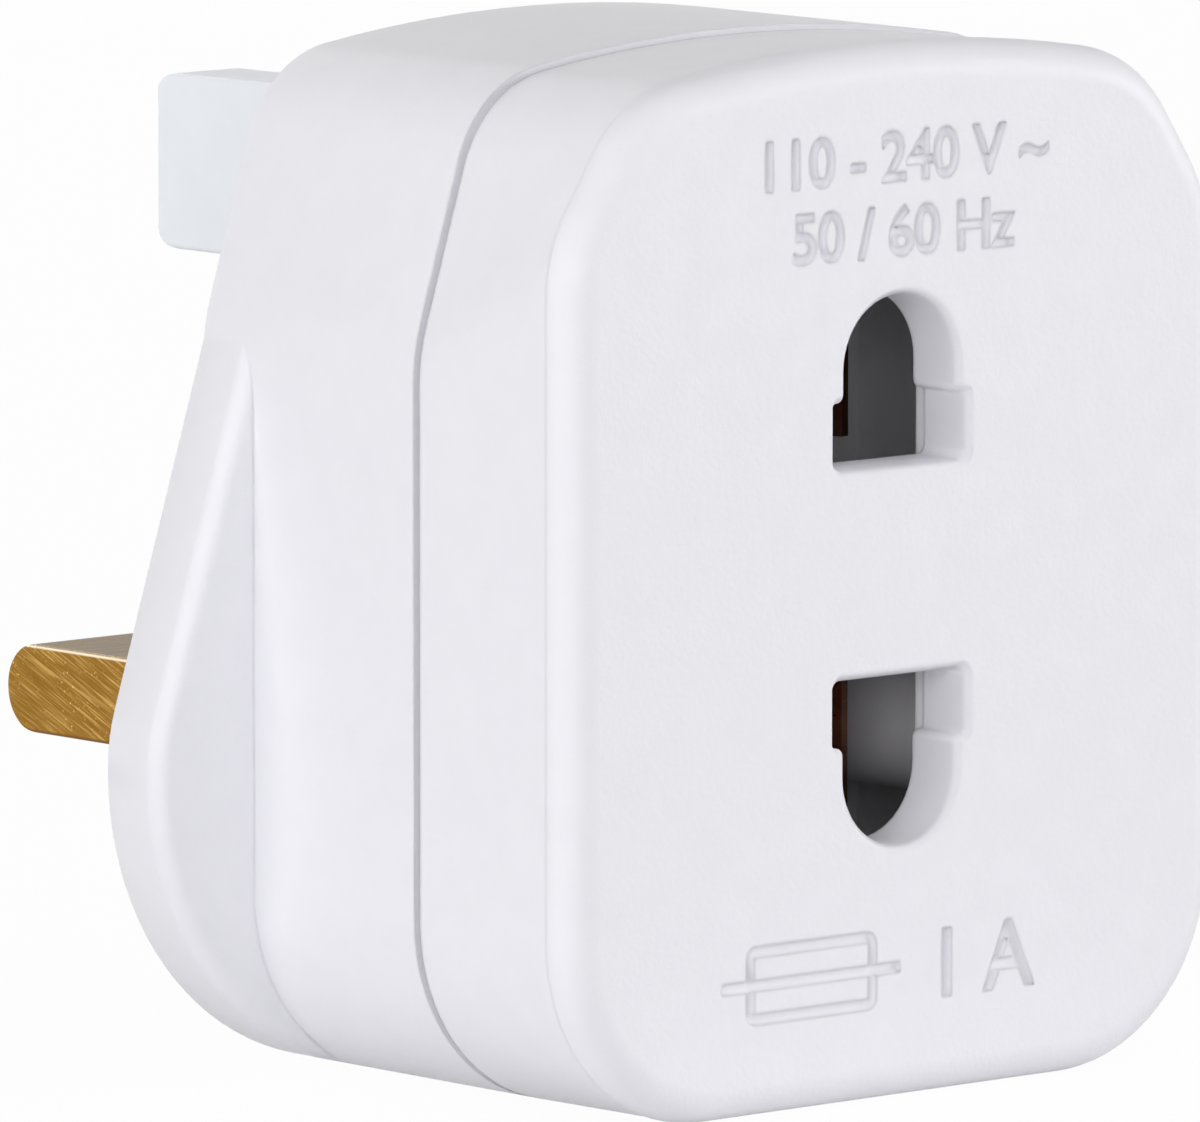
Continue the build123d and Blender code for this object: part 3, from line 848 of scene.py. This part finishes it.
@dataclass
class FaceMarking:
    """Plain ratings sunk into the shaver side: two rows above the slots, a fuse sign and its rating below."""

    row_size: float = 3.0 * MM
    rows: tuple[tuple[str, float], ...] = (("110 - 240 V ~", 24.75 * MM), ("50 / 60 Hz", 21.55 * MM))
    rating: str = "1 A"
    rating_size: float = 4.2 * MM
    rating_place: Range = (4.6 * MM, -10.6 * MM)
    sign_place: Range = (-5.2 * MM, -9.1 * MM)
    sign_width: float = 7.0 * MM
    sign_height: float = 2.9 * MM
    sign_corner: float = 0.3 * MM
    sign_lead: float = 1.6 * MM
    line_radius: float = 0.24 * MM
    depth: float = 0.26 * MM
    bottom_round: float = 0.12 * MM
    bottom_steps: int = 2
    curve_steps: int = 5
    stroke_spare: float = 0.06 * MM
    stand_out: float = 0.3 * MM

    def sink(self, cover: bpy.types.Object, face_y: float, material: bpy.types.Material) -> None:
        """Cuts the marking out of the cover's skin.

        Args:
            cover: The cover's skin, whose mesh is replaced.
            face_y: The place of the shaver side.
            material: The housing's finish.
        """
        cutter = self.cutter(face_y, material)
        cut = cover.modifiers.new("sunk_marking", "BOOLEAN")
        cut.operation = "DIFFERENCE"
        cut.solver = "EXACT"
        cut.use_self = True
        cut.object = cutter
        mesh = evaluated_mesh(cover)
        cover.modifiers.remove(cut)
        bpy.data.objects.remove(cutter)
        cover.data = mesh

    def cutter(self, face_y: float, material: bpy.types.Material) -> bpy.types.Object:
        """Makes one cutter from all the rows, the rating and the fuse sign.

        Args:
            face_y: The place of the shaver side.
            material: The housing's finish.

        Returns:
            The cutter, in its place.
        """
        joined = bpy.data.meshes.new("marking_cutter")
        with opened(joined) as shell:
            for words, z in self.rows:
                self.add_words(shell, words, self.row_size, (0.0, z), face_y)
            self.add_words(shell, self.rating, self.rating_size, self.rating_place, face_y)
            shell.from_mesh(self.fuse_sign(face_y, material))
        return placed("marking_cutter", joined)

    def fuse_sign(self, face_y: float, material: bpy.types.Material) -> bpy.types.Mesh:
        """Makes the fuse sign's cutter: a box with a line through it.

        Args:
            face_y: The place of the shaver side.
            material: The housing's finish.

        Returns:
            The cutter's mesh, in its place.
        """
        sign = GrooveLines("fuse_sign").mesh(
            {
                "Width": self.sign_width,
                "Height": self.sign_height,
                "Corner": self.sign_corner,
                "Lead": self.sign_lead,
                "Line Radius": self.line_radius,
                "Material": material,
            }
        )
        sign.transform(self.seat(self.sign_place, face_y))
        return sign

    def seat(self, place: Range, face_y: float) -> Matrix:
        """The turn and shift from a drawing's plane on to the face.

        Args:
            place: The drawing's middle on the face, across and up.
            face_y: The place of the drawing's plane.

        Returns:
            The matrix that places the drawing.
        """
        turn = Matrix(((1, 0, 0, 0), (0, 0, -1, 0), (0, 1, 0, 0), (0, 0, 0, 1)))
        return Matrix.Translation((place[0], face_y, place[1])) @ turn

    def add_words(
        self, shell: bmesh.types.BMesh, words: str, size: float, place: Range, face_y: float
    ) -> None:
        """Adds characters with rounded bottoms to the cutter.

        Args:
            shell: The cutter's mesh, which is added to.
            words: The characters.
            size: Their size.
            place: The middle of their base line on the face.
            face_y: The place of the shaver side.
        """
        drawing = bpy.data.curves.new("marking_drawing", "FONT")
        drawing.body = words
        drawing.size = size
        drawing.align_x = "CENTER"
        drawing.extrude = (self.depth + self.stand_out) / 2 - self.bottom_round
        drawing.bevel_depth = self.bottom_round
        drawing.bevel_resolution = self.bottom_steps
        drawing.offset = self.stroke_spare - self.bottom_round
        drawing.resolution_u = self.curve_steps
        writer = bpy.data.objects.new("marking_drawing", drawing)
        bpy.context.collection.objects.link(writer)
        mesh = plain_mesh(writer)
        mesh.transform(self.seat(place, face_y - (self.stand_out - self.depth) / 2))
        shell.from_mesh(mesh)


@dataclass
class Housing(SubAssembly):
    """The two white shells, with plain ratings sunk into the shaver side."""

    skins: SkinMaker = SkinMaker(sharp_angle=math.radians(50.0))
    finish: MouldedPlastic = WHITE_PLASTIC
    marking: FaceMarking = field(default_factory=FaceMarking)
    flange_reach: float = 17.5 * MM
    flange_top: float = 14.0 * MM
    inner_corner: float = math.radians(4.0)

    def build(self, frame: dict[str, bpy.types.Object]) -> list[bpy.types.Object]:
        """Skins both shells and sinks the marking into the cover.

        Args:
            frame: The frame's CAD objects by node.

        Returns:
            The shells' skins.
        """
        material = self.finish.material()
        body = self.skins.copy("rear_body", frame["rear_body"])
        self.part_flange(body.data)
        front = self.skins.copy("front_cover", frame["front_cover"])
        self.marking.sink(front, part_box("front_cover")[0].y, material)
        self.skins.smooth(front.data)
        return [
            self.cover("rear_body", body, Body.HOUSING, Slot.HOUSING, material),
            self.cover("front_cover", front, Body.HOUSING, Slot.HOUSING, material),
        ]

    def part_flange(self, mesh: bpy.types.Mesh) -> None:
        """Keeps the inner corner sharp where the flange's upper ends leave the body's sides.

        Args:
            mesh: The rear body's mesh, which is changed.
        """
        with opened(mesh) as shell:
            for edge in shell.edges:
                ends = [end.co for end in edge.verts]
                at_top = all(abs(end.x) > self.flange_reach and end.z > self.flange_top for end in ends)
                if at_top and edge.calc_face_angle_signed(0.0) < -self.inner_corner:
                    edge.smooth = False


@dataclass
class PlugPins(SubAssembly):
    """The plastic earth pin and the two brass pins with their sleeves."""

    earth: str = "earth_pin"
    blades: tuple[str, ...] = ("live_pin", "neutral_pin")
    sleeves: tuple[str, ...] = ("live_pin_sleeve", "neutral_pin_sleeve")
    tip_length: float = 2.0 * MM
    tip_corner: float = 0.31 * MM

    def build(self, frame: dict[str, bpy.types.Object]) -> list[bpy.types.Object]:
        """Skins the pins and the sleeves.

        Args:
            frame: The frame's CAD objects by node.

        Returns:
            The skins.
        """
        earth = self.dress((self.earth,), frame, Body.HOUSING, Slot.EARTH_PIN, EARTH_PLASTIC)
        blades = self.dress(self.blades, frame, Body.HOUSING, Slot.PIN, PIN_BRASS)
        sleeves = self.dress(self.sleeves, frame, Body.HOUSING, Slot.SLEEVE, SLEEVE_PLASTIC)
        for blade in blades:
            self.square_tip(blade.data)
        return [*earth, *blades, *sleeves]

    def square_tip(self, mesh: bpy.types.Mesh) -> None:
        """Runs a blade's flat sides out to its round end, where the stamping has an edge.

        Args:
            mesh: The blade's mesh, which is changed.
        """
        end = max(vertex.co.y for vertex in mesh.vertices)
        across = [vertex.co.x for vertex in mesh.vertices if vertex.co.y > end - self.tip_length]
        middle = (max(across) + min(across)) / 2.0
        half = (max(across) - min(across)) / 2.0
        for vertex in mesh.vertices:
            offset = vertex.co.x - middle
            if vertex.co.y > end - self.tip_corner and abs(offset) > half - self.tip_corner:
                vertex.co.x = middle + math.copysign(half, offset)
        self.skins.smooth(mesh)


@dataclass
class ContactWorks(SubAssembly):
    """The bronze stampings behind the slots and on the fuse, and the screws that close the housing."""

    stampings: tuple[str, ...] = ("line_contact", "neutral_contact", "live_fuse_clip")
    screws: tuple[str, ...] = ("housing_screw_left", "housing_screw_right", "housing_screw_bottom")

    def build(self, frame: dict[str, bpy.types.Object]) -> list[bpy.types.Object]:
        """Skins the stampings and the screws.

        Args:
            frame: The frame's CAD objects by node.

        Returns:
            The skins.
        """
        return [
            *self.dress(self.stampings, frame, Body.HOUSING, Slot.CONTACT, CONTACT_BRONZE),
            *self.dress(self.screws, frame, Body.HOUSING, Slot.SCREW, SCREW_ZINC),
        ]


@dataclass
class FuseHolder(SubAssembly):
    """The carrier that pulls out of the plug face, with its cartridge fuse."""

    carrier: str = "fuse_carrier"
    tube: str = "fuse_tube"
    caps: tuple[str, ...] = ("fuse_cap_left", "fuse_cap_right")

    def build(self, frame: dict[str, bpy.types.Object]) -> list[bpy.types.Object]:
        """Skins the carrier and the fuse.

        Args:
            frame: The frame's CAD objects by node.

        Returns:
            The skins.
        """
        return [
            *self.dress((self.carrier,), frame, Body.FUSE_HOLDER, Slot.CARRIER, CARRIER_PLASTIC),
            *self.dress((self.tube,), frame, Body.FUSE_HOLDER, Slot.FUSE_TUBE, FUSE_CERAMIC),
            *self.dress(self.caps, frame, Body.FUSE_HOLDER, Slot.FUSE_CAP, FUSE_NICKEL),
        ]


class StageTree(NodeTree):
    """The node tree of the floor or the sky, which tells the rays that show the background."""

    BACKGROUND_RAYS = ("Is Camera Ray", "Is Glossy Ray", "Is Transmission Ray")

    def background_rays(self) -> Socket:
        """A value of 1 for camera, glossy and transmitted rays, and 0 for the others."""
        path = self.node("ShaderNodeLightPath")
        return reduce(partial(self.maths, "MAXIMUM"), [path.outputs[ray] for ray in self.BACKGROUND_RAYS])


@dataclass(frozen=True)
class SoftLamp:
    """A square soft lamp aimed at the object: angles in degrees, lengths in metres, power in watts."""

    name: str
    azimuth: float
    elevation: float
    power: float
    distance: float = 1.0
    size: float = 0.6


@dataclass
class Studio:
    """A pale floor, soft lamps round the object and a camera at the photograph's angle."""

    floor_z: float
    target: Point = (-9.68 * MM, -16.34 * MM, 8.40 * MM)
    azimuth: float = 41.3
    elevation: float = 7.2
    distance: float = 640.0 * MM
    lens: float = 449.9
    sensor: float = 36.0
    nearest: float = 0.01
    farthest: float = 20.0
    floor_radius: float = 3.0
    floor_sides: int = 96
    floor_gap: float = 0.05 * MM
    floor_colour: Colour = (0.82, 0.82, 0.83)
    floor_glow: float = 0.97
    horizon_light: float = 0.3
    zenith_light: float = 0.1
    lamps: tuple[SoftLamp, ...] = (
        SoftLamp("left_softbox", azimuth=100.0, elevation=5.0, power=4.5),
        SoftLamp("camera_softbox", azimuth=50.0, elevation=5.0, power=6.2),
        SoftLamp("right_softbox", azimuth=-60.0, elevation=5.0, power=6.9),
        SoftLamp("top_softbox", azimuth=0.0, elevation=65.0, power=2.2),
        SoftLamp("back_softbox", azimuth=195.0, elevation=12.0, power=3.5),
    )

    def build(self) -> None:
        """Sets up the camera, the floor, the sky and the lamps."""
        bpy.context.scene.view_settings.view_transform = "Standard"
        self.camera()
        self.floor()
        self.sky()
        for lamp in self.lamps:
            self.stand(lamp)

    def looking(self, azimuth: float, elevation: float, distance: float) -> Matrix:
        """The pose of a camera or lamp that looks at the target.

        Args:
            azimuth: The turn from the shaver side towards the left side, in degrees.
            elevation: The height angle, in degrees.
            distance: The distance from the target.

        Returns:
            The pose's matrix.
        """
        turn, rise = math.radians(azimuth), math.radians(elevation)
        ahead = Vector((math.sin(turn) * math.cos(rise), math.cos(turn) * math.cos(rise), -math.sin(rise)))
        right = Vector((math.cos(turn), -math.sin(turn), 0.0))
        pose = Matrix((right, right.cross(ahead), -ahead)).transposed().to_4x4()
        pose.translation = Vector(self.target) - distance * ahead
        return pose

    def camera(self) -> None:
        """Sets up a long lens at the photograph's viewing angle."""
        lens = bpy.data.cameras.new("photo_camera")
        lens.sensor_fit = "HORIZONTAL"
        lens.sensor_width = self.sensor
        lens.lens = self.lens
        lens.clip_start = self.nearest
        lens.clip_end = self.farthest
        eye = bpy.data.objects.new("photo_camera", lens)
        eye.matrix_world = self.looking(self.azimuth, self.elevation, self.distance)
        bpy.context.collection.objects.link(eye)
        bpy.context.scene.camera = eye

    def floor(self) -> None:
        """Lays a wide pale disc under the object, which glows white to the eye and keeps the shadow."""
        mesh = bpy.data.meshes.new("studio_floor")
        with opened(mesh) as disc:
            bmesh.ops.create_circle(disc, cap_ends=True, radius=self.floor_radius, segments=self.floor_sides)
        mesh.transform(Matrix.Translation((0.0, 0.0, self.floor_z - self.floor_gap)))
        mesh.materials.append(self.floor_material())
        placed("studio_floor", mesh)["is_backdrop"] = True

    def floor_material(self) -> bpy.types.Material:
        """A matt pale paint mixed with a white glow for rays that show the background."""
        material = bpy.data.materials.new("studio_floor")
        material.use_nodes = True
        tree = StageTree(material.node_tree)
        paint = tree.node("ShaderNodeBsdfDiffuse", {"Color": (*self.floor_colour, 1.0)}).outputs["BSDF"]
        glow = tree.node("ShaderNodeEmission", {"Strength": 1.0}).outputs["Emission"]
        share = tree.product(tree.background_rays(), self.floor_glow)
        mixed = tree.node("ShaderNodeMixShader", {"Fac": share, 1: paint, 2: glow})
        tree.node("ShaderNodeOutputMaterial", {"Surface": mixed.outputs["Shader"]})
        return material

    def sky(self) -> None:
        """Sets a pale light from all round that falls off overhead, seen as white in the background."""
        world = bpy.data.worlds.new("studio_sky")
        bpy.context.scene.world = world
        world.use_nodes = True
        tree = StageTree(world.node_tree)
        outwards = tree.node("ShaderNodeTexCoord").outputs["Generated"]
        height = tree.node("ShaderNodeSeparateXYZ", {"Vector": outwards}).outputs["Z"]
        lights = {"Value": height, "To Min": self.horizon_light, "To Max": self.zenith_light}
        light = tree.node("ShaderNodeMapRange", lights).outputs["Result"]
        strengths = {"Value": tree.background_rays(), "To Min": light, "To Max": 1.0}
        strength = tree.node("ShaderNodeMapRange", strengths, clamp=False).outputs["Result"]
        white = {"Color": (1.0, 1.0, 1.0, 1.0), "Strength": strength}
        background = tree.node("ShaderNodeBackground", white).outputs["Background"]
        tree.node("ShaderNodeOutputWorld", {"Surface": background})

    def stand(self, lamp: SoftLamp) -> None:
        """Puts up one lamp.

        Args:
            lamp: The lamp's sizes and place.
        """
        light = bpy.data.lights.new(lamp.name, "AREA")
        light.shape = "SQUARE"
        light.size = lamp.size
        light.energy = lamp.power
        stand = bpy.data.objects.new(lamp.name, light)
        stand.matrix_world = self.looking(lamp.azimuth, lamp.elevation, lamp.distance)
        bpy.context.collection.objects.link(stand)


def main() -> None:
    """Loads the frame, dresses every piece and sets up the studio."""
    logging.basicConfig(level=logging.INFO, format="%(message)s")
    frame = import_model()
    cad_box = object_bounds()
    for assembly in (Housing(), PlugPins(), ContactWorks(), FuseHolder()):
        for piece in assembly.build(frame["nodes"]):
            log.info("%s: %s with %d faces", type(assembly).__name__, piece.name, len(piece.data.polygons))
    Studio(cad_box[0].z).build()


if __name__ == "__main__":
    main()
